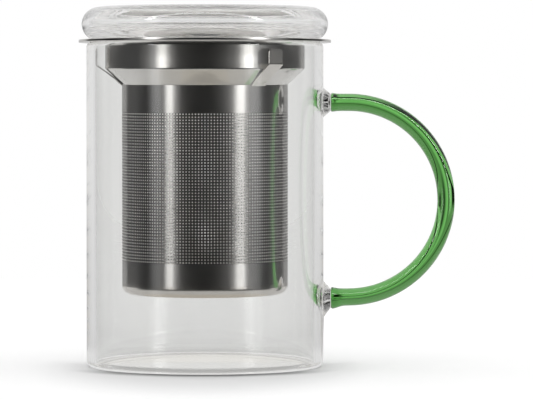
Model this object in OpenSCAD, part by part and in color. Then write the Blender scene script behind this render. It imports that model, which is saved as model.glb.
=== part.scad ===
// Glass tea cup with a bent green glass handle, a lift-out perforated steel infuser
// that hangs from the rim by its flange, and a hollow glass lid that rests on the flange.
// Millimetres, +Z up. Origin on the cup's axis, in the plane that the cup stands on.
// The handle points along +X.

/* [Glass cup] */
// Outer diameter of the cup
cup_d = 82; // [76:1:110]
// Height of the cup from its base to the rim
cup_h = 112; // [106:1:140]
// Thickness of the cup's wall
cup_wall = 3; // [2:0.1:4]
// Thickness of the cup's floor
cup_floor_t = 1.6; // [1.2:0.1:6]
// Outer radius between the base and the wall
base_corner_r = 3; // [1:0.1:6]
// Inner radius between the floor and the wall
floor_corner_r = 1.5; // [1:0.1:6]

/* [Handle] */
// Diameter of the bent glass rod
rod_d = 6; // [5:0.1:9]
// Radius of the handle's bend, to the rod's centre line
bend_r = 33.7; // [24:0.1:36]
// Distance from the cup's wall to the centre of the bend
bend_reach = 8.8; // [6:0.1:20]
// How far the middle of the handle stands above half the cup's height
handle_rise = 1.7; // [-6:0.1:8]
// Distance from the cup's wall to the end of each clear foot
foot_l = 3.3; // [3:0.1:5]
// Diameter of the upper clear foot where it meets the cup
upper_foot_d = 10; // [8:0.1:14]
// Diameter of the lower clear foot where it meets the cup
lower_foot_d = 11.4; // [8:0.1:14]
// Depth of the straight band of a foot against the cup's wall
foot_band = 0.6; // [0.2:0.1:1]

/* [Infuser] */
// How far the flange's rolled edge stands out past the cup's wall
flange_over = 2.7; // [1:0.1:8]
// Diameter of the rolled edge's bead
bead_d = 1.6; // [1.2:0.1:2.4]
// Thickness of the collar's sheet
collar_t = 0.5; // [0.4:0.05:0.8]
// Gap between the collar's straight wall and the cup's wall
collar_gap = 3.5; // [2.5:0.1:5]
// Height of the collar's straight wall, from the rim down to the cone
collar_h = 9.1; // [7:0.1:14]
// Bend radius between the flange and the collar, on the inside of the sheet
collar_bend_r = 0.8; // [0.4:0.1:1.5]
// Height of the cone between the collar and the sleeve
cone_h = 6; // [5:0.1:8]
// Width of the cone, from the collar in to the sleeve
cone_w = 5.8; // [5:0.1:8]
// Thickness of the sleeve's sheet
sleeve_t = 0.4; // [0.3:0.05:0.6]
// Height of the basket's underside above the cup's base
basket_rise = 24.8; // [8:0.1:50]
// Height of the pressed bottom below the sleeve
bottom_h = 4; // [3.5:0.1:6]
// Depth of the collar's and the bottom's spigots inside the sleeve
spigot_h = 3; // [2:0.1:5]
// Outer radius round the basket's bottom edge
basket_corner_r = 3; // [1.5:0.1:3.3]

/* [Perforations] */
// Diameter of a hole
hole_d = 2.2; // [0.8:0.1:2.8]
// Distance between the rows of holes, and about the distance between their columns
hole_pitch = 5; // [4:0.1:8]
// Plain band between the sleeve's top edge and the first row
plain_top = 10.3; // [5:0.1:20]
// Plain band between the last row and the sleeve's bottom edge
plain_bottom = 8.8; // [5:0.1:20]
// Plain ring between the bottom's holes and its rounded edge
plain_ring = 3; // [1:0.1:10]

/* [Spring clips] */
// Width of a clip's strip
clip_w = 6; // [4:0.1:8]
// Thickness of a clip's strip
clip_t = 0.45; // [0.3:0.05:0.6]
// Length of the clip's foot that is welded to the cone
clip_foot_l = 3; // [2:0.1:4]
// Slope of the clip's arm above the horizontal, in degrees
clip_slope = 38; // [34:1:42]
// Height of the clip's upright tip
clip_tip_h = 4.6; // [3:0.1:6]
// Inner radius of the clip's bend
clip_bend_r = 0.8; // [0.4:0.1:1.5]
// Corner radius of the upright tip
clip_corner_r = 1.4; // [0.5:0.1:1.9]
// Direction of the front clip round the cup's axis, in degrees from the handle
clip_turn = -51; // [-80:1:-40]
// Diameter of a spot weld
weld_d = 1.3; // [0.8:0.1:1.6]
// How far a spot weld stands out of the strip
weld_rise = 0.1; // [0.05:0.05:0.2]

/* [Lid] */
// How far the lid's side stands in from the flange's edge
lid_inset = 1.1; // [0.5:0.1:4]
// Height of the lid above the flange
lid_h = 11.6; // [10:0.1:16]
// Thickness of the lid's top
lid_top_t = 2.1; // [1.5:0.1:3]
// Thickness of the lid's side
lid_side_t = 3; // [2:0.1:3.6]
// Thickness of the lid's bottom wall, above the flange
lid_seat_t = 3.9; // [2.5:0.1:4.5]
// Thickness of the lid's neck
neck_t = 3; // [2:0.1:4]
// Depth of the lid's neck below the flange
neck_l = 5; // [4:0.1:7]

/* [Clearances] */
// Gap between pieces that rest on each other but lift apart
seat_gap = 0.05; // [0.02:0.01:0.3]
// Gap between the lid's neck and the collar
neck_gap = 0.4; // [0.2:0.05:1]
// Gap between the clips' tips and the cup's wall
clip_gap = 0.08; // [0.05:0.01:0.1]

/* [Hidden] */
$fn = 96;

// How far a cutting shape runs past what it cuts
overrun = 1;
// Turn from one clip to the next
clip_step = 120;
// Short flat steps that make a clip's bend
bend_steps = 6;
// Sides of a hole's circle
hole_fn = 16;

cup_r = cup_d / 2;
bore_r = cup_r - cup_wall;
rod_r = rod_d / 2;
bend_x = cup_r + bend_reach;
handle_mid_z = cup_h / 2 + handle_rise;
foot_end_x = cup_r + foot_l;

flange_z = cup_h + seat_gap;
flange_top = flange_z + collar_t;
flange_r = cup_r + flange_over;
collar_r = bore_r - collar_gap;
collar_bore_r = collar_r - collar_t;
cone_top = cup_h - collar_h;
sleeve_top = cone_top - cone_h;
basket_z = basket_rise;
sleeve_bottom = basket_z + bottom_h;
sleeve_h = sleeve_top - sleeve_bottom;
sleeve_r = collar_r - cone_w;
sleeve_bore_r = sleeve_r - sleeve_t;

lid_r = flange_r - lid_inset;
lid_z = flange_top + seat_gap;
lid_edge_r = lid_h / 2;
lid_flat_r = lid_r - lid_edge_r;
lid_roof = lid_z + lid_h - lid_top_t;
lid_shelf = lid_z + lid_seat_t;
cavity_edge_r = (lid_roof - lid_shelf) / 2;
cavity_r = lid_r - lid_side_t;
neck_r = collar_bore_r - neck_gap;
neck_bore_r = neck_r - neck_t;
neck_z = lid_z - neck_l;

// The clip's outer face stands so far from the axis that its corners clear the bore
clip_face_r = sqrt(pow(bore_r - clip_gap, 2) - pow(clip_w / 2, 2));
cone_slope = atan2(cone_h, cone_w);

function along(angle, length) = length * [cos(angle), sin(angle)];
function turned(list) = [for (i = [len(list) - 1 : -1 : 0]) list[i]];

// Rectangle between two corners of a half section
module block(low, high) {
    translate(low) square(high - low);
}

// Inside corner fill: a square less the circle that rounds it, at the square's low corner
module fillet(r) {
    difference() {
        square(r);
        translate([r, r]) circle(r);
    }
}

// Solid half section that is rounded at its lower outer corner
module rounded_section(r, low, high, corner_r) {
    intersection() {
        union() {
            block([0, low + corner_r], [r, high]);
            block([0, low], [r - corner_r, high]);
            translate([r - corner_r, low + corner_r]) circle(corner_r);
        }
        block([0, low], [r, high]);
    }
}

// Cup: a straight wall with a fully rounded rim, on a flat floor
module glass_body() {
    rim_r = cup_wall / 2;
    rim_z = cup_h - rim_r;
    color([0.86, 0.92, 0.90, 0.35])
    rotate_extrude() intersection() {
        union() {
            difference() {
                rounded_section(cup_r, 0, rim_z, base_corner_r);
                rounded_section(bore_r, cup_floor_t, rim_z + overrun, floor_corner_r);
            }
            translate([bore_r + rim_r, rim_z]) circle(rim_r);
        }
        block([0, 0], [cup_r, cup_h]);
    }
}

// Clear gather of glass that joins the rod to the wall, flared towards the cup
module handle_foot(foot_d, z) {
    flare = min(foot_d / 2 - rod_r, foot_l - foot_band);
    color([0.88, 0.94, 0.90, 0.45])
    difference() {
        translate([0, 0, z]) rotate([90, 0, 90]) rotate_extrude() {
            block([0, cup_r - cup_wall], [rod_r, foot_end_x]);
            block([0, cup_r - cup_wall], [rod_r + flare, cup_r + foot_band]);
            translate([rod_r, cup_r + foot_band]) fillet(flare);
        }
        cylinder(h = cup_h, r = cup_r);
    }
}

module upper_handle_foot() {
    handle_foot(upper_foot_d, handle_mid_z + bend_r);
}

module lower_handle_foot() {
    handle_foot(lower_foot_d, handle_mid_z - bend_r);
}

// Handle: one rod with two straight ends and a half-circle bend between them
module handle_rod() {
    color([0.22, 0.50, 0.16, 0.7])
    translate([0, 0, handle_mid_z]) {
        translate([bend_x, 0, 0]) rotate([90, 0, 0]) rotate([0, 0, -90])
            rotate_extrude(angle = 180) translate([bend_r, 0]) circle(rod_r);
        for (side = [-1, 1])
            translate([foot_end_x, 0, side * bend_r]) rotate([0, 90, 0])
                cylinder(h = bend_x - foot_end_x, r = rod_r);
    }
}

// Collar: flange with a rolled edge, straight wall, cone and a spigot for the sleeve
module infuser_collar() {
    bead_r = bead_d / 2;
    outer_bend_r = collar_bend_r + collar_t;
    bend_z = flange_top - outer_bend_r;
    bend_axis_r = collar_bore_r + outer_bend_r;
    sheet_run = collar_t / sin(cone_slope);
    color([0.72, 0.71, 0.69])
    rotate_extrude() {
        translate([flange_r - bead_r, flange_z + bead_r]) circle(bead_r);
        block([bend_axis_r, flange_z], [flange_r - bead_r, flange_top]);
        intersection() {
            translate([bend_axis_r, bend_z]) difference() {
                circle(outer_bend_r);
                circle(collar_bend_r);
            }
            block([collar_bore_r, bend_z], [bend_axis_r, flange_top]);
        }
        block([collar_bore_r, cone_top], [collar_r, bend_z]);
        polygon([
            [collar_r, cone_top], [collar_r - sheet_run, cone_top],
            [sleeve_r - sheet_run, sleeve_top], [sleeve_r, sleeve_top]
        ]);
        block([sleeve_bore_r - collar_t, sleeve_top - spigot_h], [sleeve_bore_r, sleeve_top]);
    }
}

// Sleeve: a rolled and seam-welded sheet with a square grid of round holes
module perforated_sleeve() {
    grid_h = sleeve_h - plain_top - plain_bottom;
    rows = max(1, round(grid_h / hole_pitch));
    row_step = grid_h / rows;
    columns = round(2 * PI * sleeve_r / hole_pitch);
    color([0.70, 0.69, 0.67])
    difference() {
        translate([0, 0, sleeve_bottom]) cylinder(h = sleeve_h, r = sleeve_r);
        translate([0, 0, sleeve_bottom - overrun])
            cylinder(h = sleeve_h + 2 * overrun, r = sleeve_bore_r);
        for (row = [0 : rows], column = [0 : columns - 1])
            translate([0, 0, sleeve_bottom + plain_bottom + row * row_step])
                rotate([0, 90, (column + 0.5) * 360 / columns])
                    translate([0, 0, sleeve_bore_r - overrun])
                        cylinder(h = sleeve_t + 2 * overrun, d = hole_d, $fn = hole_fn);
    }
}

// Bottom: a shallow pressed cup whose spigot fits inside the sleeve
module basket_bottom() {
    grid_r = sleeve_r - basket_corner_r - plain_ring;
    reach = floor(grid_r / hole_pitch);
    color([0.70, 0.69, 0.67])
    difference() {
        rotate_extrude() {
            difference() {
                rounded_section(sleeve_r, basket_z, sleeve_bottom, basket_corner_r);
                rounded_section(sleeve_r - collar_t, basket_z + collar_t, sleeve_bottom + overrun,
                    basket_corner_r - collar_t);
            }
            block([sleeve_bore_r - collar_t, sleeve_bottom - collar_t],
                [sleeve_bore_r, sleeve_bottom + spigot_h]);
        }
        for (i = [-reach : reach], j = [-reach : reach])
            if (norm([i, j]) * hole_pitch < grid_r)
                translate([i * hole_pitch, j * hole_pitch, basket_z - overrun])
                    cylinder(h = collar_t + 2 * overrun, d = hole_d, $fn = hole_fn);
    }
}

// Spring clip: a strip welded to the outside of the cone, which leaves it at a lower slope,
// reaches the cup's wall and turns upright there
module spring_clip(turn) {
    // The strip's inner face lies on the cone from its foot to where it lifts off
    foot = [sleeve_r, sleeve_top];
    lift = foot + along(cone_slope, clip_foot_l);
    outer_bend_r = clip_bend_r + clip_t;
    bend_axis_r = clip_face_r - outer_bend_r;
    bend_axis = [
        bend_axis_r,
        lift.y + tan(clip_slope) * (bend_axis_r - lift.x) + clip_bend_r / cos(clip_slope)
    ];
    bend_angles = [for (i = [0 : bend_steps]) (clip_slope - 90) * (1 - i / bend_steps)];
    tip_z = bend_axis.y + clip_tip_h;
    color([0.75, 0.74, 0.72])
    rotate([0, 0, turn]) {
        intersection() {
            rotate([90, 0, 0]) linear_extrude(clip_w, center = true)
                polygon(concat(
                    [foot, lift],
                    [for (a = bend_angles) bend_axis + along(a, clip_bend_r)],
                    [[clip_face_r - clip_t, tip_z], [clip_face_r, tip_z]],
                    turned([for (a = bend_angles) bend_axis + along(a, outer_bend_r)]),
                    [lift + along((cone_slope + clip_slope) / 2 - 90, clip_t)],
                    [foot + along(cone_slope - 90, clip_t)]
                ));
            rotate([90, 0, 90]) linear_extrude(cup_r) {
                translate([-clip_w / 2, 0]) square([clip_w, tip_z - clip_corner_r]);
                translate([clip_corner_r - clip_w / 2, 0]) square([clip_w - 2 * clip_corner_r, tip_z]);
                for (side = [-1, 1])
                    translate([side * (clip_w / 2 - clip_corner_r), tip_z - clip_corner_r])
                        circle(clip_corner_r);
            }
        }
        for (side = [-1, 1])
            translate([(foot.x + lift.x) / 2, side * clip_w / 4, (foot.y + lift.y) / 2])
                rotate([0, 180 - cone_slope, 0])
                    cylinder(h = clip_t + weld_rise, d = weld_d);
    }
}

module spring_clip_front() {
    spring_clip(clip_turn);
}

module spring_clip_rear() {
    spring_clip(clip_turn + clip_step);
}

module spring_clip_left() {
    spring_clip(clip_turn + 2 * clip_step);
}

// Lid: a hollow, flat cap of glass whose open neck drops into the collar
module glass_lid() {
    neck_end_r = neck_t / 2;
    shelf_edge_r = neck_t / 2;
    color([0.88, 0.93, 0.92, 0.35])
    rotate_extrude() intersection() {
        difference() {
            union() {
                block([0, lid_z], [lid_flat_r, lid_z + lid_h]);
                translate([lid_flat_r, lid_z + lid_edge_r]) circle(lid_edge_r);
                block([0, neck_z + neck_end_r], [neck_r, lid_shelf]);
                translate([neck_r - neck_end_r, neck_z + neck_end_r]) circle(neck_end_r);
            }
            block([0, lid_shelf], [cavity_r - cavity_edge_r, lid_roof]);
            translate([cavity_r - cavity_edge_r, lid_shelf + cavity_edge_r]) circle(cavity_edge_r);
            block([0, neck_z + neck_end_r], [neck_bore_r, lid_shelf]);
            translate([neck_bore_r, lid_shelf]) mirror([0, 1]) fillet(shelf_edge_r);
        }
        union() {
            block([0, lid_z], [lid_r, lid_z + lid_h]);
            block([neck_bore_r, neck_z], [neck_r, lid_z]);
        }
    }
}

glass_body();
upper_handle_foot();
lower_handle_foot();
handle_rod();
infuser_collar();
perforated_sleeve();
basket_bottom();
spring_clip_front();
spring_clip_rear();
spring_clip_left();
glass_lid();
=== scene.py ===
import math

import bmesh
import bpy
import numpy as np
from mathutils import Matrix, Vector
from mathutils.geometry import delaunay_2d_cdt


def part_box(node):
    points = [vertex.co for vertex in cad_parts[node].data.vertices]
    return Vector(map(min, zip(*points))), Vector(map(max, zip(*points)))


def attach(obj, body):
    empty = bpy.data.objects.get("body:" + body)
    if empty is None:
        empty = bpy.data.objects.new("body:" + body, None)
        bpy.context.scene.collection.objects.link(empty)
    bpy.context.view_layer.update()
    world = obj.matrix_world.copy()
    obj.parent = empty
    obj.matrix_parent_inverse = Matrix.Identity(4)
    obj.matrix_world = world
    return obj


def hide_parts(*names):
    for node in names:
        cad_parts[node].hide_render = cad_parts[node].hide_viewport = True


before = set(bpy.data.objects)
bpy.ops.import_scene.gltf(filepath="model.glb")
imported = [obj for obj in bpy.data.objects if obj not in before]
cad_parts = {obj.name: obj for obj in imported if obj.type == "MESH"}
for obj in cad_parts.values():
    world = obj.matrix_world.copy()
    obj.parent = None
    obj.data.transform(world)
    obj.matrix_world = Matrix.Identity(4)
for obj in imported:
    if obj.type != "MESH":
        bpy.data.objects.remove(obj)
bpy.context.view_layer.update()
MM = 0.001


# Glass cup
# A length of drawn clear borosilicate tube whose floor and rim are worked in the flame. Two
# gathers of clear glass are fused to its wall and carry the ends of the handle's rod. The lower
# one hangs a little, as it ran while it was soft.
cup_low, cup_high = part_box("glass_body")
cup_r = (cup_high.x - cup_low.x) / 2
cup_h = cup_high.z
cup_wall = 3 * MM
cup_floor_t = 0.9 * MM
base_corner_r = 2 * MM
floor_corner_r = 1.5 * MM
punt_rise = 0.12 * MM
punt_r = 34 * MM
foot_rise = 2.5 * MM
upper_foot_r = 5.2 * MM
lower_foot_r = 6 * MM
lower_foot_drop = 0.2 * MM
lower_foot_hang = 0.16
lower_foot_narrow = 1.04
dish_depth = 0.15 * MM
rod_r = 3 * MM
rod_low, rod_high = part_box("handle_rod")
upper_foot_z = rod_high.z - rod_r
lower_foot_z = rod_low.z + rod_r


def arc(centre, radius, start, end, steps):
    """Points of an arc: centre plus radius times (cos, sin), from start to end in degrees."""
    angle = np.radians(np.linspace(start, end, steps + 1))
    return np.array(centre) + radius * np.column_stack([np.cos(angle), np.sin(angle)])


def supported(points, inset):
    """An outline whose stretches longer than four insets get a point an inset from each end, so
    that the smooth shading of a corner doesn't spread over them."""
    kept = [points[0]]
    for a, b in zip(points[:-1], points[1:]):
        length = np.linalg.norm(b - a)
        if length > 4 * inset:
            kept += [a + (b - a) * inset / length, b - (b - a) * inset / length]
        kept.append(b)
    return np.array(kept)


def surface(name, points, faces, crease=40, second=()):
    """A smooth-shaded object from points and arrays of faces, creased where faces meet past an
    angle in degrees.

    The arrays whose numbers are in second take the object's second material."""
    corners = np.concatenate([f.ravel() for f in faces])
    sizes = np.concatenate([np.full(len(f), f.shape[1]) for f in faces])
    mesh = bpy.data.meshes.new(name)
    mesh.vertices.add(len(points))
    mesh.vertices.foreach_set("co", np.asarray(points, dtype=np.float32).ravel())
    mesh.loops.add(len(corners))
    mesh.loops.foreach_set("vertex_index", corners.astype(np.int32))
    mesh.polygons.add(len(sizes))
    mesh.polygons.foreach_set("loop_start", (np.cumsum(sizes) - sizes).astype(np.int32))
    mesh.update(calc_edges=True)
    mesh.polygons.foreach_set("use_smooth", np.ones(len(sizes), dtype=bool))
    finish = np.concatenate([np.full(len(f), number in second) for number, f in enumerate(faces)])
    mesh.polygons.foreach_set("material_index", finish.astype(np.int32))
    mesh.set_sharp_from_angle(angle=math.radians(crease))
    piece = bpy.data.objects.new(name, mesh)
    bpy.context.scene.collection.objects.link(piece)
    return piece


def quads(*corners):
    """Faces of four corners each, from four arrays of the points' numbers."""
    return np.stack(corners, axis=-1).reshape(-1, 4)


def turned(outline, angles, swell=None):
    """Points and faces of an outline (r, z) turned about Z, with its material on the left.

    A point lies at ((r + s) cos t, (r + s) sin t, z), where s is what swell(t, r, z) adds to the
    radius. An end on the axis closes in one pole, and an outline without ends closes on itself.
    """
    closed = not np.isclose(outline[0, 0], 0) and not np.isclose(outline[-1, 0], 0)
    ring = outline if closed else outline[1:-1]
    t, r = np.meshgrid(angles, ring[:, 0])
    z = np.repeat(ring[:, 1:], len(angles), axis=1)
    if swell:
        r = r + swell(t, r, z)
    points = np.stack([r * np.cos(t), r * np.sin(t), z], axis=-1).reshape(-1, 3)
    rows, turns = len(ring), len(angles)
    index = np.arange(rows * turns).reshape(rows, turns)
    if closed:
        index = np.vstack([index, index[:1]])
    here, following = index, np.roll(index, -1, axis=1)
    faces = [quads(here[:-1], following[:-1], following[1:], here[1:])]
    if not closed:
        poles = np.array([[0, 0, outline[0, 1]], [0, 0, outline[-1, 1]]])
        first, last = len(points), len(points) + 1
        points = np.vstack([points, poles])
        faces.append(np.column_stack([following[0], here[0], np.full(turns, first)]))
        faces.append(np.column_stack([here[-1], following[-1], np.full(turns, last)]))
    return points, faces


def crowded(low, high, coarse, fine, places, reach):
    """Values from low to high in coarse steps, and in fine steps within reach of each place."""
    marks = np.arange(low, high, coarse)
    for place in places:
        marks = marks[np.abs(marks - place) > reach]
        marks = np.append(marks, np.arange(place - reach, place + reach + fine / 2, fine))
    marks = np.sort(marks)
    return marks[(marks >= low) & (marks < high)]


def gather(y, z, centre_z, foot_r):
    """Height of a gather of glass on the wall, from the distance d to its centre.

    With the share s = (foot_r - d) / (foot_r - rod_r), kept between 0 and 1, it is a hollow
    shoulder foot_rise s^1.25 (1.25 - 0.25 s), less a dish under the rod of
    dish_depth (1 - (d / rod_r)^2)."""
    distance = np.hypot(y, z - centre_z)
    share = np.clip((foot_r - distance) / (foot_r - rod_r), 0, 1)
    dish = np.clip(1 - (distance / rod_r) ** 2, 0, 1)
    return foot_rise * share ** 1.25 * (1.25 - 0.25 * share) - dish_depth * dish


def cup_swell(t, r, z):
    """Both gathers, on the outer wall alone and on the handle's side.

    Below the lower one's centre, heights are drawn together, so that it reaches further down."""
    y = r * np.sin(t)
    outside = (r > cup_r - cup_wall / 4) & (np.cos(t) > 0)
    upper = gather(y, z, upper_foot_z, upper_foot_r)
    hang = 1 - lower_foot_hang * (z < lower_foot_z)
    hung_z = lower_foot_z + (z - lower_foot_z) * hang
    lower = gather(y * lower_foot_narrow, hung_z, lower_foot_z - lower_foot_drop, lower_foot_r)
    return np.where(outside, upper + lower, 0)


fine_step = 0.25 * MM
coarse_step = 8 * MM
coarse_turn = math.radians(1.5)
foot_reach = 7 * MM
floor_ring_w = 6 * MM
cup_angles = crowded(-math.pi, math.pi, coarse_turn, fine_step / cup_r, [0], foot_reach / cup_r)
wall_z = crowded(base_corner_r, cup_h - cup_wall / 2, coarse_step, fine_step,
                 [lower_foot_z, upper_foot_z], foot_reach)
punt_share = np.linspace(0, 1, 9)
punt = np.column_stack([punt_r * punt_share, punt_rise * (1 - punt_share ** 2) ** 2])
bore_r = cup_r - cup_wall
cup_outline = np.vstack([
    punt,
    arc([cup_r - base_corner_r, base_corner_r], base_corner_r, -90, 0, 12),
    np.column_stack([np.full(len(wall_z) - 1, cup_r), wall_z[1:]]),
    arc([cup_r - cup_wall / 2, cup_h - cup_wall / 2], cup_wall / 2, 0, 180, 16),
    arc([bore_r - floor_corner_r, cup_floor_t + floor_corner_r], floor_corner_r, 0, -90, 12),
    [[bore_r - floor_corner_r - floor_ring_w, cup_floor_t], [0, cup_floor_t]],
])


def shader(name):
    """A new material, with its tree and its Principled shader."""
    material = bpy.data.materials.new(name)
    material.use_nodes = True
    return material, material.node_tree, material.node_tree.nodes["Principled BSDF"]


def stretched_noise(tree, scale, detail):
    """A noise on Object coordinates times scale (x, y, z). A small scale draws streaks its way."""
    place = tree.nodes.new("ShaderNodeTexCoord")
    stretch = tree.nodes.new("ShaderNodeMapping")
    stretch.inputs["Scale"].default_value = scale
    noise = tree.nodes.new("ShaderNodeTexNoise")
    noise.inputs["Scale"].default_value = 1
    noise.inputs["Detail"].default_value = detail
    tree.links.new(place.outputs["Object"], stretch.inputs["Vector"])
    tree.links.new(stretch.outputs["Vector"], noise.inputs["Vector"])
    return noise


def raise_by(tree, noise, height, principled, under=None):
    """A bump of a height in metres from a noise, on top of another bump if there is one."""
    bump = tree.nodes.new("ShaderNodeBump")
    bump.inputs["Distance"].default_value = height
    tree.links.new(noise.outputs["Fac"], bump.inputs["Height"])
    if under:
        tree.links.new(under.outputs["Normal"], bump.inputs["Normal"])
    tree.links.new(bump.outputs["Normal"], principled.inputs["Normal"])
    return bump


def between(tree, noise, dark, light, socket):
    """Colours into a socket, from dark where a noise is 0.35 to light where it is 0.65."""
    ramp = tree.nodes.new("ShaderNodeValToRGB")
    for element, position, colour in zip(ramp.color_ramp.elements, (0.35, 0.65), (dark, light)):
        element.position = position
        element.color = (*colour, 1)
    tree.links.new(noise.outputs["Fac"], ramp.inputs["Fac"])
    tree.links.new(ramp.outputs["Color"], socket)


def glass(name, dark, light, streak, waviness):
    """Clear or tinted glass, fully clear, with the faint draw lines and tint of worked glass."""
    material, tree, principled = shader(name)
    principled.inputs["Transmission Weight"].default_value = 1
    principled.inputs["Roughness"].default_value = 0
    principled.inputs["IOR"].default_value = 1.47
    noise = stretched_noise(tree, streak, 2)
    between(tree, noise, dark, light, principled.inputs["Base Color"])
    raise_by(tree, noise, waviness, principled)
    return material


cup = surface("cup_glass", *turned(cup_outline, cup_angles, cup_swell))
cup.data.materials.append(glass("drawn clear glass", (0.980, 0.981, 0.972), (0.992, 0.992, 0.986),
                                (90, 90, 5), 0.01 * MM))
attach(cup, "cup")
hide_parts("glass_body", "upper_handle_foot", "lower_handle_foot")


# Handle
# One rod of green glass, bent in the flame to a half circle with two straight ends. Each end is
# flared a little where it was pressed into the soft clear gather on the cup's wall.
bend_r = (upper_foot_z - lower_foot_z) / 2
bend_x = rod_high.x - rod_r - bend_r
bend_z = (upper_foot_z + lower_foot_z) / 2
rod_gap = 2.56 * MM
rod_start_x = cup_r + rod_gap
upper_flare, upper_flare_l = 0.3 * MM, 1.6 * MM
lower_flare, lower_flare_l = 0.8 * MM, 2.6 * MM
lower_sag, lower_sag_l = 0.35 * MM, 3.5 * MM
end_round_l = 0.6 * MM
end_drawn_in = 0.22
steps_straight, steps_bend, rod_sides = 60, 160, 64


def rod_route():
    """The rod's centre line (x, z): straight out from the upper end, a half circle, and back."""
    out = np.linspace(rod_start_x, bend_x, steps_straight + 1)[:-1]
    upper = np.column_stack([out, np.full(len(out), upper_foot_z)])
    lower = np.column_stack([out[::-1], np.full(len(out), lower_foot_z)])
    return np.vstack([upper, arc([bend_x, bend_z], bend_r, 90, -90, steps_bend), lower])


def swept_rod(route, radius):
    """A round rod along a route in the XZ plane, closed at both ends in a pole.

    A point lies at the route's place plus radius (cos a across + sin a Y), where across is the
    route's direction turned by 90 degrees."""
    along = np.gradient(route, axis=0)
    along /= np.linalg.norm(along, axis=1)[:, None]
    across = np.column_stack([-along[:, 1], along[:, 0]])
    angle = np.linspace(0, 2 * math.pi, rod_sides, endpoint=False)
    reach = radius[:, None] * np.cos(angle)
    points = np.stack([
        route[:, :1] + across[:, :1] * reach,
        radius[:, None] * np.sin(angle),
        route[:, 1:] + across[:, 1:] * reach,
    ], axis=-1).reshape(-1, 3)
    index = np.arange(len(route) * rod_sides).reshape(len(route), rod_sides)
    nearby = np.roll(index, -1, axis=1)
    faces = [quads(index[:-1], index[1:], nearby[1:], nearby[:-1])]
    ends = np.array([[route[0, 0], 0, route[0, 1]], [route[-1, 0], 0, route[-1, 1]]])
    first, last = len(points), len(points) + 1
    faces.append(np.column_stack([index[0], nearby[0], np.full(rod_sides, first)]))
    faces.append(np.column_stack([nearby[-1], index[-1], np.full(rod_sides, last)]))
    return np.vstack([points, ends]), faces


route = rod_route()
travelled = np.concatenate([[0], np.cumsum(np.linalg.norm(np.diff(route, axis=0), axis=1))])
from_upper, from_lower = travelled, travelled[-1] - travelled
flare = (upper_flare * np.exp(-(from_upper / upper_flare_l) ** 2)
         + lower_flare * np.exp(-(from_lower / lower_flare_l) ** 2))
nearest_end = np.clip(np.minimum(from_upper, from_lower) / end_round_l, 0, 1)
round_end = np.sqrt(np.clip(1 - (1 - nearest_end) ** 2, 0.02, 1))
rod_radius = (rod_r + flare) * (1 - end_drawn_in * (1 - round_end))
route[:, 1] -= lower_sag * np.exp(-(from_lower / lower_sag_l) ** 2)
rod = surface("handle_rod_glass", *swept_rod(route, rod_radius))
green = glass("green rod glass", (0.96, 1.0, 0.95), (1, 1, 1), (60, 60, 60), 0.005 * MM)
depth_colour = green.node_tree.nodes.new("ShaderNodeVolumeAbsorption")
depth_colour.inputs["Color"].default_value = (0.16, 0.69, 0.02, 1)
depth_colour.inputs["Density"].default_value = 345
green.node_tree.links.new(depth_colour.outputs["Volume"],
                          green.node_tree.nodes["Material Output"].inputs["Volume"])
rod.data.materials.append(green)
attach(rod, "cup")
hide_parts("handle_rod")


# Infuser collar
# Drawn from stainless sheet: a flange with a hemmed edge that hangs on the rim, a short straight
# wall and a cone, with a spigot that the sleeve slips over. Polished outside, with faint draw
# lines, and left pickled inside.
collar_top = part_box("infuser_collar")[1].z
sheet_t = 0.5 * MM
collar_r = 34.5 * MM
flange_r = 43.65 * MM
hem_h = 0.95 * MM
hem_w = 1.2 * MM
hem_corner_r = 0.2 * MM
solid_bead_h = 1.6 * MM
flange_z = collar_top - solid_bead_h
collar_bend_r = 0.8 * MM
cone_corner_r = 0.8 * MM
cone_corner_up = 0.33 * MM
cone_top = 102.4 * MM
sleeve_r = 28.7 * MM
sleeve_t = 0.4 * MM
sleeve_low, sleeve_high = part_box("perforated_sleeve")
sleeve_bottom, sleeve_top = sleeve_low.z, sleeve_high.z
spigot_h = 3 * MM
sheet_inset = 0.15 * MM

collar_inner = collar_r - sheet_t
spigot_r = sleeve_r - sleeve_t
cone_run = sheet_t * math.sqrt(2)
bend_axis = [collar_r + collar_bend_r, flange_z - collar_bend_r]

hem = np.vstack([
    arc([flange_r - hem_corner_r, flange_z + hem_corner_r], hem_corner_r, -90, 0, 6),
    arc([flange_r - hem_corner_r, flange_z + hem_h - hem_corner_r], hem_corner_r, 0, 90, 6),
    arc([flange_r - hem_w + hem_corner_r, flange_z + hem_h - hem_corner_r],
        hem_corner_r, 90, 180, 6),
])
collar_outline = supported(np.vstack([
    [[spigot_r - sheet_t, sleeve_top - spigot_h], [spigot_r, sleeve_top - spigot_h],
     [spigot_r, sleeve_top], [sleeve_r, sleeve_top]],
    arc([collar_r - cone_corner_r, cone_top + cone_corner_up], cone_corner_r, -44, 0, 5),
    arc(bend_axis, collar_bend_r, 180, 90, 8),
    hem,
    arc(bend_axis, collar_bend_r + sheet_t, 90, 180, 8),
    [[collar_inner, cone_top + 0.2 * MM], [collar_r - cone_run, cone_top - 0.1 * MM],
     [sleeve_r - cone_run, sleeve_top], [spigot_r - sheet_t, sleeve_top - 0.3 * MM]],
]), sheet_inset)

satin_share = 0.27
satin_roughness = 0.28


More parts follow.
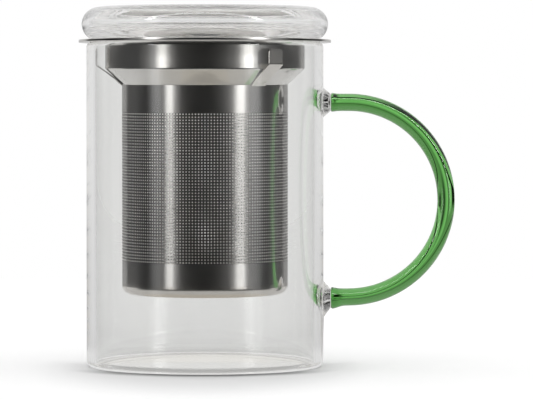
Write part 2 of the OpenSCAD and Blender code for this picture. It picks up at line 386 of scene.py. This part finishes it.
def steel(name, base, roughness, draw_lines, line_height, dents):
    """Stainless steel: draw lines as a stretched noise, with soft unevenness of the pressed sheet.

    A share of the surface is satin, where the polish has left some of the rolling."""
    material, tree, principled = shader(name)
    principled.inputs["Metallic"].default_value = 1
    satin = tree.nodes.new("ShaderNodeBsdfAnisotropic")
    satin.distribution = "BECKMANN"
    satin.inputs["Roughness"].default_value = satin_roughness
    satin.inputs["Color"].default_value = (*base, 1)
    both = tree.nodes.new("ShaderNodeMixShader")
    both.inputs[0].default_value = satin_share
    tree.links.new(principled.outputs[0], both.inputs[1])
    tree.links.new(satin.outputs[0], both.inputs[2])
    tree.links.new(both.outputs[0], tree.nodes["Material Output"].inputs["Surface"])
    lines = stretched_noise(tree, draw_lines, 3)
    between(tree, lines, tuple(0.93 * c for c in base), base, principled.inputs["Base Color"])
    spread = tree.nodes.new("ShaderNodeMapRange")
    spread.inputs["To Min"].default_value = roughness * 0.9
    spread.inputs["To Max"].default_value = roughness * 1.1
    tree.links.new(lines.outputs["Fac"], spread.inputs["Value"])
    tree.links.new(spread.outputs["Result"], principled.inputs["Roughness"])
    uneven = stretched_noise(tree, (70, 70, 25), 1)
    under = raise_by(tree, uneven, dents, principled)
    raise_by(tree, lines, line_height, principled, under)
    return material


def pickled(name, base):
    """The matt pale grey side of sheet that was etched and pickled but not polished."""
    material, tree, principled = shader(name)
    principled.inputs["Metallic"].default_value = 0.3
    principled.inputs["Roughness"].default_value = 0.5
    grain = stretched_noise(tree, (700, 700, 200), 2)
    between(tree, grain, tuple(0.94 * c for c in base), base, principled.inputs["Base Color"])
    raise_by(tree, grain, 0.002 * MM, principled)
    return material


even_angles = np.linspace(-math.pi, math.pi, 256, endpoint=False)
collar_points, (collar_faces,) = turned(collar_outline, even_angles)
# The inner side begins where the hem ends.
inner_row = np.argmin(np.linalg.norm(collar_outline - hem[-1], axis=1))
inner_face = inner_row * len(even_angles)
collar = surface("infuser_collar_sheet", collar_points,
                 [collar_faces[:inner_face], collar_faces[inner_face:]], crease=50, second=(1,))
collar.data.materials.append(steel("polished collar steel", (0.64, 0.63, 0.61), 0.05,
                                   (900, 900, 30), 0.0008 * MM, 0.02 * MM))
inner_side = pickled("pickled inner side", (0.91, 0.90, 0.885))
collar.data.materials.append(inner_side)
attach(collar, "infuser")
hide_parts("infuser_collar")


# Perforated sleeve
# Stainless sheet with an etched square grid of round holes, rolled to a tube. Plain bands are left
# at both ends for the welds to the collar and the bottom. Here it is three rings, one on the
# other, which keeps each mesh small.
hole_rows = 50
hole_columns = 172
hole_r = 0.26 * MM
hole_turns = np.arange(8) * math.pi / 4
first_row_z = 36.85 * MM
row_pitch = 1.025 * MM
ring_overlap = 0.0001 * MM
grid_tone = 0.72
ring_cuts = [0, 17, 34, hole_rows]
inside_and_linings = (3, 4, 5, 6)


def lattice(columns, z_marks, radius):
    """Points (radius cos t, radius sin t, z) at even angles t, from the front round, and each z."""
    t = np.arange(columns) * 2 * math.pi / columns - math.pi / 2
    t, z = np.meshgrid(t, z_marks)
    return np.stack([radius * np.cos(t), radius * np.sin(t), z], axis=-1).reshape(-1, 3)


def perforated_ring(first, last, low, high):
    """A closed ring of sheet with rows of holes from first to last, and plain out to low and high.

    Each hole lies in a square cell: eight points on the cell's edge and eight on the hole's circle
    make eight faces on either side of the sheet, and eight more line the hole. The faces come as
    cells and two plain bands for the outer side, the same for the inner side, then the holes'
    linings and the ring's two edges.
    """
    rows = last - first
    half_steps = first_row_z + (first - 0.5 + np.arange(2 * rows + 1) / 2) * row_pitch
    marks = np.concatenate([[low], half_steps, [high]])
    across = 2 * hole_columns
    level = len(marks) * across
    faces, points = [], []
    row, column = np.meshgrid(np.arange(rows), np.arange(hole_columns), indexing="ij")
    row, column = row.ravel(), column.ravel()
    round_steps = [(2, 1), (2, 2), (1, 2), (0, 2), (0, 1), (0, 0), (1, 0), (2, 0)]
    cell = np.column_stack([(1 + 2 * row + b) * across + (2 * column + a) % across
                            for a, b in round_steps])
    angle = ((2 * column[:, None] + 1) * math.pi / hole_columns - math.pi / 2
             + hole_r * np.cos(hole_turns) / sleeve_r)
    height = first_row_z + (first + row[:, None]) * row_pitch + hole_r * np.sin(hole_turns)
    count = len(row) * 8
    hole = np.arange(count).reshape(-1, 8)
    offset = level + count
    for side, radius in enumerate([sleeve_r, sleeve_r - sleeve_t]):
        points.append(lattice(across, marks, radius))
        on_circles = np.stack([radius * np.cos(angle), radius * np.sin(angle), height], axis=-1)
        points.append(on_circles.reshape(-1, 3))
        base = side * offset
        edge, rim = cell + base, hole + base + level
        fan = quads(rim, edge, np.roll(edge, -1, axis=1), np.roll(rim, -1, axis=1))
        faces.append(fan if side == 0 else fan[:, ::-1])
        for band in (0, len(marks) - 2):
            here = base + band * across + np.arange(across)
            right = np.roll(here, -1)
            plain = quads(here, right, right + across, here + across)
            faces.append(plain if side == 0 else plain[:, ::-1])
    outer, inner = hole + level, hole + level + offset
    faces.append(quads(outer, np.roll(outer, -1, axis=1), np.roll(inner, -1, axis=1), inner))
    for band, flip in ((0, False), (len(marks) - 1, True)):
        here = band * across + np.arange(across)
        right = np.roll(here, -1)
        edge = quads(here, here + offset, right + offset, right)
        faces.append(edge[:, ::-1] if flip else edge)
    points = np.vstack(points)
    used = np.zeros(len(points), dtype=bool)
    used[np.concatenate([f.ravel() for f in faces])] = True
    renumber = np.cumsum(used) - 1
    return points[used], [renumber[f] for f in faces]


def darken_grid(material):
    """Multiplies both colours of a steel by grid_tone between the first and the last row of holes,
    so that the perforated band is darker."""
    tree = material.node_tree
    place = tree.nodes.new("ShaderNodeTexCoord")
    apart = tree.nodes.new("ShaderNodeSeparateXYZ")
    tree.links.new(place.outputs["Object"], apart.inputs[0])
    within = tree.nodes.new("ShaderNodeMath")
    within.operation = "COMPARE"
    within.inputs[1].default_value = first_row_z + (hole_rows - 1) / 2 * row_pitch
    within.inputs[2].default_value = hole_rows / 2 * row_pitch
    tree.links.new(apart.outputs["Z"], within.inputs[0])
    for finish, colour in (("Principled BSDF", "Base Color"), ("Glossy BSDF", "Color")):
        socket = tree.nodes[finish].inputs[colour]
        dark = tree.nodes.new("ShaderNodeMix")
        dark.data_type = "RGBA"
        dark.blend_type = "MULTIPLY"
        dark.inputs["A"].default_value = socket.default_value[:]
        dark.inputs["B"].default_value = (grid_tone, grid_tone, grid_tone, 1)
        if socket.is_linked:
            tree.links.new(socket.links[0].from_socket, dark.inputs["A"])
        tree.links.new(within.outputs[0], dark.inputs["Factor"])
        tree.links.new(dark.outputs["Result"], socket)


sleeve_steel = steel("etched sleeve steel", (0.62, 0.61, 0.595), 0.05,
                     (900, 900, 14), 0.0005 * MM, 0.03 * MM)
darken_grid(sleeve_steel)
for number, (first, last) in enumerate(zip(ring_cuts[:-1], ring_cuts[1:])):
    low = first_row_z + (first - 0.5) * row_pitch - ring_overlap if first else sleeve_bottom
    high = first_row_z + (last - 0.5) * row_pitch + ring_overlap if last < hole_rows else sleeve_top
    ring = surface("perforated_sleeve_%d" % (number + 1), *perforated_ring(first, last, low, high),
                   second=inside_and_linings)
    ring.data.materials.append(sleeve_steel)
    ring.data.materials.append(inner_side)
    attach(ring, "infuser")
    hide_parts("perforated_sleeve")


# Basket bottom
# A shallow cup pressed from the same sheet, perforated in its flat and rounded at its edge, with
# a spigot that is welded inside the sleeve.
bottom_low, bottom_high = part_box("basket_bottom")
basket_corner_r = 3 * MM
perforated_r = 22.5 * MM
plate_r = sleeve_r - basket_corner_r

bottom_outline = supported(np.vstack([
    [[plate_r, bottom_low.z]],
    arc([plate_r, bottom_low.z + basket_corner_r], basket_corner_r, -90, 0, 10)[1:],
    [[sleeve_r, sleeve_bottom], [spigot_r, sleeve_bottom], [spigot_r, bottom_high.z],
     [spigot_r - sheet_t, bottom_high.z], [spigot_r - sheet_t, sleeve_bottom - 0.4 * MM]],
    arc([plate_r, bottom_low.z + basket_corner_r], basket_corner_r - sheet_t, 0, -90, 10),
]), sheet_inset)


def open_ring(outline, angles):
    """The turned surface of an outline, without the band from its last point to its first."""
    points, (faces,) = turned(outline, angles)
    return points, [faces[:(len(outline) - 1) * len(angles)]]


def perforated_plate(radius, low, high, rim_angles):
    """A round plate with a square grid of holes, in triangles between its rim and the holes.

    A hole lies at row_pitch (i, j) for whole i and j within perforated_r. A triangle whose middle
    lies within a hole is left out. The same triangles, turned over, make the upper side, and each
    hole is lined between both sides."""
    reach = int(perforated_r / row_pitch)
    i, j = np.meshgrid(np.arange(-reach, reach + 1), np.arange(-reach, reach + 1))
    centres = np.column_stack([i.ravel(), j.ravel()]) * row_pitch
    centres = centres[np.hypot(*centres.T) < perforated_r]
    circle = hole_r * np.column_stack([np.cos(hole_turns), np.sin(hole_turns)])
    holes = (centres[:, None] + circle).reshape(-1, 2)
    rim = radius * np.column_stack([np.cos(rim_angles), np.sin(rim_angles)])
    flat = np.vstack([rim, holes])
    sides = np.arange(len(centres) * 8).reshape(-1, 8) + len(rim)
    following = np.roll(sides, -1, axis=1)
    edges = np.stack([sides, following], axis=-1).reshape(-1, 2)
    around = np.arange(len(rim))
    edges = np.vstack([edges, np.column_stack([around, np.roll(around, -1)])])
    found = delaunay_2d_cdt([Vector(p) for p in flat / MM], edges.tolist(), [], 0, 1e-5)
    corners = np.array([tuple(v) for v in found[0]]) * MM
    triangles = np.array(found[2])
    middle = corners[triangles].mean(axis=1)
    nearest = np.round(middle / row_pitch) * row_pitch
    near_centre = np.hypot(*(middle - nearest).T) < hole_r * 0.9
    has_hole = np.hypot(*nearest.T) < perforated_r
    triangles = triangles[~(near_centre & has_hole)]
    count = len(corners)
    points = np.vstack([np.column_stack([corners, np.full(count, z)]) for z in (low, high)])
    lining = quads(sides, sides + count, following + count, following)
    return points, [triangles[:, ::-1], triangles + count, lining]


plate_angles = np.linspace(-math.pi, math.pi, 192, endpoint=False)
shell_points, shell_faces = open_ring(bottom_outline, plate_angles)
plate_points, plate_faces = perforated_plate(plate_r, bottom_low.z, bottom_low.z + sheet_t,
                                             plate_angles)
bottom = surface("basket_bottom_sheet", np.vstack([shell_points, plate_points]),
                 shell_faces + [f + len(shell_points) for f in plate_faces])
welded = bmesh.new()
welded.from_mesh(bottom.data)
bmesh.ops.remove_doubles(welded, verts=welded.verts, dist=0.001 * MM)
welded.to_mesh(bottom.data)
welded.free()
bottom.data.materials.append(steel("pressed bottom steel", (0.62, 0.60, 0.57), 0.17,
                                   (600, 600, 300), 0.001 * MM, 0.02 * MM))
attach(bottom, "infuser")
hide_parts("basket_bottom")


# Spring clips
# Three strips of sprung stainless steel. The foot of each is fixed to the cone by two spot welds,
# and its upright tip, cut with rounded corners, presses on the cup's wall.
clip_w = 6 * MM
clip_t = 0.45 * MM
clip_foot_l = 3 * MM
clip_corner_r = 1.4 * MM
clip_bend_r = 0.8 * MM
clip_slope = 38
cone_slope = math.degrees(math.atan2(cone_top - sleeve_top, collar_r - sleeve_r))
weld_r = 0.65 * MM
weld_depth = 0.1 * MM
weld_ridge_w = 0.2 * MM
weld_pit_r = 0.4 * MM
clip_edge_r = 0.08 * MM
wall_clearance = 0.08 * MM
weld_pit_share = 1.6
strip_steps = 120
strip_across = 33
clip_turns = {"front": -51, "rear": 69, "left": 189}


def clip_route():
    """The strip's inner face in its half plane (r, z), in even steps, and their lengths along it:
    a foot up the cone, an arm at clip_slope, a bend of clip_bend_r and an upright tip."""
    tip_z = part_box("spring_clip_front")[1].z
    face_r = math.sqrt((bore_r - wall_clearance) ** 2 - (clip_w / 2) ** 2)
    foot = np.array([sleeve_r, sleeve_top])
    up_cone = np.array([math.cos(math.radians(cone_slope)), math.sin(math.radians(cone_slope))])
    lift = foot + clip_foot_l * up_cone
    axis_r = face_r - clip_t - clip_bend_r
    slope = math.radians(clip_slope)
    axis_z = lift[1] + math.tan(slope) * (axis_r - lift[0]) + clip_bend_r / math.cos(slope)
    corners = np.vstack([[foot, lift], arc([axis_r, axis_z], clip_bend_r, clip_slope - 90, 0, 8),
                         [[face_r - clip_t, tip_z]]])
    length = np.concatenate([[0], np.cumsum(np.linalg.norm(np.diff(corners, axis=0), axis=1))])
    marks = np.linspace(0, length[-1], strip_steps)
    return np.column_stack([np.interp(marks, length, corners[:, k]) for k in (0, 1)]), marks


def strip(path, marks, turn):
    """A strip along the path, with a row of points across its lower side and one across its upper.

    Its half width draws in near the tip as a circle does: w/2 - R + sqrt(R^2 - (R - distance to
    the tip)^2). The outermost points of both rows draw together, which softens the edges. Each spot
    weld adds weld_depth (ridge - weld_pit_share pit) to the upper side of the foot: two bell curves
    of the distance to its middle, the ridge at weld_r and the pit at 0."""
    along = np.gradient(path, axis=0)
    along /= np.linalg.norm(along, axis=1)[:, None]
    outward = np.column_stack([along[:, 1], -along[:, 0]])
    short = np.clip(clip_corner_r - (marks[-1] - marks), 0, None)
    half = clip_w / 2 - clip_corner_r + np.sqrt(np.clip(clip_corner_r ** 2 - short ** 2, 0, None))
    side = np.linspace(-1, 1, strip_across)
    side, upper = np.concatenate([side, side[::-1]]), np.repeat([0, 1], strip_across)
    y = half[:, None] * side
    depth = clip_t * upper + np.where(np.abs(side) == 1, clip_edge_r * (1 - 2 * upper), 0)
    depth = np.repeat(depth[None], len(path), axis=0)
    for place in (-clip_w / 4, clip_w / 4):
        distance = np.hypot(y - place, (marks - clip_foot_l / 2)[:, None])
        ridge = np.exp(-((distance - weld_r) / weld_ridge_w) ** 2)
        pit = np.exp(-(distance / weld_pit_r) ** 2)
        depth += weld_depth * (ridge - weld_pit_share * pit) * upper
    r = path[:, :1] + outward[:, :1] * depth
    z = path[:, 1:] + outward[:, 1:] * depth
    c, s = math.cos(math.radians(turn)), math.sin(math.radians(turn))
    points = np.stack([r * c - y * s, r * s + y * c, z], axis=-1).reshape(-1, 3)
    count = 2 * strip_across
    index = np.arange(len(path) * count).reshape(-1, count)
    nearby = np.roll(index, -1, axis=1)
    sides = quads(index[:-1], index[1:], nearby[1:], nearby[:-1])
    low, high = np.arange(strip_across - 1), np.arange(count - 1, strip_across, -1)
    end = quads(low, low + 1, high - 1, high)
    tip = end[:, ::-1] + (len(path) - 1) * count
    return points, [sides, end, tip]


clip_path, clip_marks = clip_route()
clip_steel = steel("sprung clip steel", (0.66, 0.64, 0.61), 0.12,
                   (900, 900, 60), 0.001 * MM, 0.01 * MM)
for name, turn in clip_turns.items():
    clip = surface("spring_clip_%s_strip" % name, *strip(clip_path, clip_marks, turn), crease=50)
    clip.data.materials.append(clip_steel)
    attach(clip, "infuser")
    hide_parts("spring_clip_" + name)


# Lid
# A hollow flat cap blown in clear glass, thick at its bulged side, whose open neck drops into the
# collar. It rests on the flange by the shelf round its neck, and nothing holds it down.
lid_low, lid_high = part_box("glass_lid")
lid_r = 42.6 * MM
neck_l = 5 * MM
lid_z = lid_low.z + neck_l
lid_edge_r = (lid_high.z - lid_z) / 2
lid_flat_r = lid_r - lid_edge_r
lid_roof_t = 2.1 * MM
lid_shelf_t = 3.9 * MM
lid_side_t = 3 * MM
lid_roof = lid_high.z - lid_roof_t
lid_shelf = lid_z + lid_shelf_t
cavity_side_r = lid_r - lid_side_t
roof_corner_r = 0.4 * MM
shelf_corner_r = 2 * MM
neck_t = 3 * MM
shelf_lip_r = 1.5 * MM
neck_fillet_r = 0.5 * MM
neck_play = 0.4 * MM
neck_r = collar_inner - neck_play
neck_bore_r = neck_r - neck_t
glass_inset = 0.3 * MM

lid_outline = supported(np.vstack([
    [[0, lid_roof]],
    arc([cavity_side_r - roof_corner_r, lid_roof - roof_corner_r], roof_corner_r, 90, 0, 12),
    arc([cavity_side_r - shelf_corner_r, lid_shelf + shelf_corner_r], shelf_corner_r, 0, -90, 16),
    arc([neck_bore_r + shelf_lip_r, lid_shelf - shelf_lip_r], shelf_lip_r, 90, 180, 8),
    arc([neck_r - neck_t / 2, lid_low.z + neck_t / 2], neck_t / 2, 180, 360, 16),
    arc([neck_r + neck_fillet_r, lid_z - neck_fillet_r], neck_fillet_r, 180, 90, 4),
    arc([lid_flat_r, lid_z + lid_edge_r], lid_edge_r, -90, 90, 48),
    [[0, lid_high.z]],
]), glass_inset)
lid = surface("lid_glass", *turned(lid_outline, even_angles))
lid.data.materials.append(glass("blown clear glass", (0.995, 0.995, 0.992), (1, 1, 0.998),
                                (60, 60, 60), 0.05 * MM))
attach(lid, "lid")
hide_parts("glass_lid")


# Table
# A plain pale matt top. Seen straight it is white, with a soft shadow round the cup, partly cast
# and partly painted, and a painted shade along its front. Steel finds only the part next to the
# cup, and light that comes through the rod finds two painted black patches on it. Places are metres
# from the cup's axis, as start and end of a slope.
table_half = 0.6
table_grey = 0.80
table_in_steel = 0.72
table_seen_straight = 0.26
warm_white = (1, 0.95, 0.86, 1)
warm_within = (0.040, 0.035)
steel_finds_within = (0.07, 0.14)
painted_patch_left_of, painted_patch_behind = (0.05, 0.02), (0.06, 0.10)
painted_patch_near, painted_patch_far = (0.24, 0.20), (0.42, 0.46)
painted_bar_y, painted_bar_half_w = 0.235, 0.035
painted_bar_right_of = (0, 0.03)
front = (-0.012, -0.036)
contact_r, contact_half_w = 0.0403, 0.0007
painted_shade_from, painted_shade_to = (0.0400, 0.0410), (0.052, 0.041)
painted_shade_share = 0.7
past_glass_share = 0.61
shadow_narrow = 2.4
shadow_inner, shadow_inner_share = (0.050, 0.066), 0.25
shadow_outer, shadow_outer_share = (0.070, 0.150), 0.75
shadow_ends_behind = (-0.02, 0.03)
under_floor, under_floor_glow = (0.0400, 0.0390), 0.25
table = surface("table", np.array([[-1, -1, 0], [1, -1, 0], [1, 1, 0], [-1, 1, 0]]) * table_half,
                [np.array([[0, 1, 2, 3]])])


def step(tree, operation, *values):
    """One step of arithmetic on numbers and outputs."""
    node = tree.nodes.new("ShaderNodeMath")
    node.operation = operation
    for socket, value in zip(node.inputs, values):
        if isinstance(value, (int, float)):
            socket.default_value = value
        else:
            tree.links.new(value, socket)
    return node.outputs[0]


def product(tree, first, *others):
    """The product of numbers and outputs."""
    for other in others:
        first = step(tree, "MULTIPLY", first, other)
    return first


def rest(tree, share):
    """What a share leaves of 1."""
    return step(tree, "SUBTRACT", 1, share)


def slope(tree, value, start, end, low=0.0, high=1.0):
    """low + (high - low) s^2 (3 - 2 s), where s is the value's share of the way from start to end,
    kept between 0 and 1."""
    node = tree.nodes.new("ShaderNodeMapRange")
    node.interpolation_type = "SMOOTHSTEP"
    node.inputs["From Min"].default_value = start
    node.inputs["From Max"].default_value = end
    node.inputs["To Min"].default_value = low
    node.inputs["To Max"].default_value = high
    tree.links.new(value, node.inputs["Value"])
    return node.outputs[0]


def met(tree, rays, kind):
    """1 for light that has met surfaces of a kind at least once, and 0 for the rest."""
    return step(tree, "MINIMUM", rays.outputs[kind + " Depth"], 1)


def sharp(tree, rays):
    """1 for light that no matt surface has scattered, and 0 for what lights matt surfaces."""
    return rest(tree, met(tree, rays, "Diffuse"))


def thrown_back(tree, rays):
    """1 for sharp light that metal or glass has thrown back, and 0 for all the rest."""
    return product(tree, sharp(tree, rays), met(tree, rays, "Glossy"))


def inside_glass(tree, rays):
    """1 for thrown back light through 2 or 3 faces, which one wall of glass has held inside."""
    one_wall = step(tree, "COMPARE", rays.outputs["Transmission Depth"], 2.5, 0.6)
    return product(tree, one_wall, thrown_back(tree, rays))


def through_rod(tree, rays):
    """1 for sharp light straight through the 2 faces of one solid piece of glass, as the rod is."""
    one_piece = step(tree, "COMPARE", rays.outputs["Transmission Depth"], 2, 0.5)
    return product(tree, sharp(tree, rays), one_piece, rest(tree, met(tree, rays, "Glossy")))


def through_walls(tree, rays):
    """1 for light that has gone through 3 to 9 faces: the walls of the cup or the lid."""
    return step(tree, "COMPARE", rays.outputs["Transmission Depth"], 6, 3.5)


def from_axis(tree, place, stretch):
    """Distance of a place on the table from the cup's axis: the length of (stretch x, y, z)."""
    stretched = tree.nodes.new("ShaderNodeVectorMath")
    stretched.operation = "MULTIPLY"
    stretched.inputs[1].default_value = (stretch, 1, 1)
    tree.links.new(place, stretched.inputs[0])
    length = tree.nodes.new("ShaderNodeVectorMath")
    length.operation = "LENGTH"
    tree.links.new(stretched.outputs[0], length.inputs[0])
    return length.outputs["Value"]


table_material = bpy.data.materials.new("pale table")
table_material.use_nodes = True
tree = table_material.node_tree
tree.nodes.clear()
rays = tree.nodes.new("ShaderNodeLightPath")
place = tree.nodes.new("ShaderNodeTexCoord").outputs["Object"]
apart = tree.nodes.new("ShaderNodeSeparateXYZ")
tree.links.new(place, apart.inputs[0])
x, y = apart.outputs["X"], apart.outputs["Y"]
distance = from_axis(tree, place, 1)
reflected = thrown_back(tree, rays)

# Painted black patches on the table, which only light through the rod finds, for the dark lines in
# the rod: one behind to the left in two parts and a bar behind to the right.
painted_patch_parts = step(tree, "MAXIMUM", slope(tree, distance, *painted_patch_near),
                  slope(tree, distance, *painted_patch_far))
painted_patch = product(tree, slope(tree, x, *painted_patch_left_of), slope(tree, y, *painted_patch_behind), painted_patch_parts)
painted_bar = product(tree, step(tree, "COMPARE", y, painted_bar_y, painted_bar_half_w), slope(tree, x, *painted_bar_right_of))
seen_through_rod = product(tree, through_rod(tree, rays), step(tree, "MAXIMUM", painted_patch, painted_bar))
lit = rest(tree, step(tree, "MAXIMUM", reflected, seen_through_rod))

# The matt top, with a painted shade along the cup's front, and painted darker past walls of glass,
# which pass more light.
painted_contact_line = step(tree, "COMPARE", distance, contact_r, contact_half_w)
dark = product(tree, slope(tree, distance, *painted_shade_to), slope(tree, distance, *painted_shade_from))
dark = product(tree, step(tree, "MAXIMUM", painted_contact_line, dark), slope(tree, y, *front), painted_shade_share)
past_glass = product(tree, through_walls(tree, rays), past_glass_share)
matt = tree.nodes.new("ShaderNodeBsdfDiffuse")
tree.links.new(product(tree, lit, rest(tree, dark), table_grey, rest(tree, past_glass)),
               matt.inputs["Color"])

# Its glow: what steel finds, warm under the cup, what whitens it where it is seen straight, less a
# painted soft shadow in an oval round the cup, and a painted light that makes up for the shade
# under the cup's floor.
warm = tree.nodes.new("ShaderNodeMix")
warm.data_type = "RGBA"
warm.inputs["A"].default_value = (1, 1, 1, 1)
warm.inputs["B"].default_value = warm_white
tree.links.new(product(tree, reflected, slope(tree, distance, *warm_within)), warm.inputs["Factor"])
# The painted soft shadow: the straight glow is less near the cup, in an oval narrower across x.
pool = from_axis(tree, place, shadow_narrow)
unshaded = step(tree, "ADD", slope(tree, pool, *shadow_inner, 0, shadow_inner_share),
                slope(tree, pool, *shadow_outer, 0, shadow_outer_share))
unshaded = step(tree, "MAXIMUM", unshaded, slope(tree, y, *shadow_ends_behind))
straight = product(tree, rays.outputs["Is Camera Ray"], unshaded, table_seen_straight, lit)
# Painted light on the table under the cup's floor.
painted_light_under_cup = product(tree, slope(tree, distance, *under_floor, 0, under_floor_glow),
                    sharp(tree, rays), lit)
to_steel = product(tree, reflected, table_in_steel)
glow = tree.nodes.new("ShaderNodeEmission")
tree.links.new(warm.outputs["Result"], glow.inputs["Color"])
tree.links.new(step(tree, "ADD", to_steel, step(tree, "ADD", straight, painted_light_under_cup)),
               glow.inputs["Strength"])
top = tree.nodes.new("ShaderNodeAddShader")
tree.links.new(matt.outputs[0], top.inputs[0])
tree.links.new(glow.outputs[0], top.inputs[1])

# Further out, what steel and glass throw back looks past the table into the room.
faded = tree.nodes.new("ShaderNodeMixShader")
nothing = tree.nodes.new("ShaderNodeBsdfTransparent")
tree.links.new(product(tree, reflected, slope(tree, distance, *steel_finds_within)),
               faded.inputs[0])
tree.links.new(top.outputs[0], faded.inputs[1])
tree.links.new(nothing.outputs[0], faded.inputs[2])
output = tree.nodes.new("ShaderNodeOutputMaterial")
tree.links.new(faded.outputs[0], output.inputs["Surface"])
table.data.materials.append(table_material)


# Light
# A white studio all round. Steel and glass throw back a dark room with a white wall behind, two
# upright softboxes in front and a strip light over each, and light that comes through the rod
# finds black cards. Places are the parts x, y, z of a direction, as start and end of a slope.

# The levels round the object go with an angle, 0 in front and 90 degrees on the handle's side.
room = [
    (-180, 0.85), (-150, 0.72), (-139, 0.68), (-131, 0.07), (-122, 0.01), (-80, 0.01),
    (-74, 0.12), (-69, 0.26), (-57, 0.36), (-53, 1.8), (-50, 3.0), (-45, 3.0), (-41, 1.15),
    (-37, 0.40), (-31, 0.14), (-23, 0.06), (-12, 0.03), (8, 0.03), (20, 0.09), (33, 0.25),
    (39, 0.50), (44, 1.9), (47, 3.3), (55, 3.3), (59, 1.3), (64, 0.46), (73, 0.38), (84, 0.07),
    (94, 0.01), (131, 0.01), (143, 0.62), (180, 0.85),
]
behind = [
    (-180, 0.95), (-175, 0.95), (-172, 0.12), (-168, 0.5), (-163, 1.0), (-156, 0.9), (-151, 0.01),
    (-118, 0.01), (-100, 0.35), (-60, 0.45), (60, 0.50), (134, 0.50), (140, 0.06), (149, 0.04),
    (155, 0.50), (163, 0.50), (167, 0.10), (171, 0.10), (175, 0.5), (180, 0.95),
]
plain_level = 0.80
walls_below = (0.15, 0.10)
floor_below, floor_share = (-0.055, -0.005), 0.5
tent_above, tent_behind = (0.38, 0.50), (-0.45, -0.15)
tent_front_level, tent_level = 0.06, 0.80
wall_behind = (0.10, 0.40)
strip_light_y, strip_light_half_w, strip_light_above = -0.588, 0.05, (0.10, 0.20)
strip_light_level = 9
cards_below, over_cards_level = (-0.02, 0.04), 0.48
brow_z, brow_half_w, brow_share = 0.105, 0.015, 0.8
steeply = (0.5, 0.8)
by_lid_level = 2.6
held_behind, held_level = (-0.6, -0.2), 0.76
deep_faces, deep_level = 4, 0.9


def all_round(tree, around, levels):
    """A level for each direction round the object, straight between pairs of an angle and a level.

    A ramp's colours end at 1, so it holds a quarter of each level."""
    ramp = tree.nodes.new("ShaderNodeValToRGB")
    band = ramp.color_ramp
    for _ in levels[2:]:
        band.elements.new(0.5)
    for element, (angle, level) in zip(band.elements, levels):
        element.position = angle / 360 + 0.5
        element.color = (level / 4, level / 4, level / 4, 1)
    tree.links.new(around, ramp.inputs["Fac"])
    return product(tree, ramp.outputs["Color"], 4)


def blend(tree, share, first, second):
    """first (1 - share) + second share."""
    return step(tree, "ADD", product(tree, first, rest(tree, share)), product(tree, second, share))


world = bpy.data.worlds.new("studio")
world.use_nodes = True
bpy.context.scene.world = world
tree = world.node_tree
tree.nodes.clear()
rays = tree.nodes.new("ShaderNodeLightPath")
crossed = rays.outputs["Transmission Depth"]
direction = tree.nodes.new("ShaderNodeTexCoord").outputs["Generated"]
apart = tree.nodes.new("ShaderNodeSeparateXYZ")
tree.links.new(direction, apart.inputs[0])
x, y, z = apart.outputs
azimuth = step(tree, "ARCTAN2", x, product(tree, y, -1))
around = step(tree, "ADD", step(tree, "DIVIDE", azimuth, 2 * math.pi), 0.5)

# The dark room: its walls and softboxes up to a low height, a tent over it, and the strip lights,
# which only the outermost faces throw back.
height = step(tree, "ABSOLUTE", z)
tent = product(tree, slope(tree, height, *tent_above),
               slope(tree, y, *tent_behind, tent_front_level, tent_level))
overhead = step(tree, "MAXIMUM", tent, slope(tree, y, *wall_behind, 0, tent_level))
walls = product(tree, all_round(tree, around, room), slope(tree, z, *floor_below, floor_share, 1))
strip_lights = product(tree, step(tree, "COMPARE", y, strip_light_y, strip_light_half_w),
                       slope(tree, z, *strip_light_above), step(tree, "LESS_THAN", crossed, 1),
                       strip_light_level)
studio = blend(tree, slope(tree, height, *walls_below), overhead, walls)
studio = step(tree, "ADD", studio, strip_lights)

# The cards behind the rod, with a narrow dark brow over them.
brow = product(tree, step(tree, "COMPARE", z, brow_z, brow_half_w), brow_share)
seen_through_rod = blend(tree, slope(tree, z, *cards_below), all_round(tree, around, behind),
               over_cards_level)
seen_through_rod = product(tree, seen_through_rod, rest(tree, brow))

# The white studio. What falls steeply on matt surfaces through the lid or the cup is stronger.
full = step(tree, "MAXIMUM", rays.outputs["Is Camera Ray"], met(tree, rays, "Diffuse"))
seen = step(tree, "ADD", plain_level, product(tree, full, 1 - plain_level))
by_lid = product(tree, through_walls(tree, rays), met(tree, rays, "Diffuse"),
                 slope(tree, z, *steeply), by_lid_level)
level = blend(tree, through_rod(tree, rays), step(tree, "ADD", seen, by_lid), seen_through_rod)

# Light that glass has held inside itself finds a paler room than light that went straight back.
held = step(tree, "MAXIMUM", studio, slope(tree, y, *held_behind, 0, held_level))
deep = product(tree, thrown_back(tree, rays), step(tree, "GREATER_THAN", crossed, deep_faces))
level = blend(tree, thrown_back(tree, rays), level, studio)
level = blend(tree, inside_glass(tree, rays), level, held)
level = blend(tree, deep, level, step(tree, "MAXIMUM", studio, deep_level))
back = tree.nodes.new("ShaderNodeBackground")
back.inputs["Color"].default_value = (1, 1, 1, 1)
tree.links.new(level, back.inputs["Strength"])
sky = tree.nodes.new("ShaderNodeOutputWorld")
tree.links.new(back.outputs[0], sky.inputs["Surface"])
world.cycles.sampling_method = "NONE"
scene = bpy.context.scene
scene.view_settings.view_transform = "Standard"
scene.cycles.max_bounces = 64
scene.cycles.transmission_bounces = 64
scene.cycles.glossy_bounces = 64
scene.cycles.use_denoising = True


# Camera
# The photograph's view, through a long lens from a good metre away. The camera stands level with
# the upper part of the cup, a little to the handle's side, and looks down by a degree and a half.
camera_distance = 1150 * MM
camera_height = 87.1 * MM
camera_x = 21.3 * MM
drop = math.radians(1.47)
camera_data = bpy.data.cameras.new("camera")
camera_data.lens = 224.3
camera_data.sensor_width = 36
camera_data.clip_start = 0.01
camera_data.clip_end = 100
camera = bpy.data.objects.new("camera", camera_data)
camera.location = (camera_x, -camera_distance, camera_height)
camera.rotation_euler = (math.pi / 2 - drop, 0, 0)
scene.collection.objects.link(camera)
scene.camera = camera
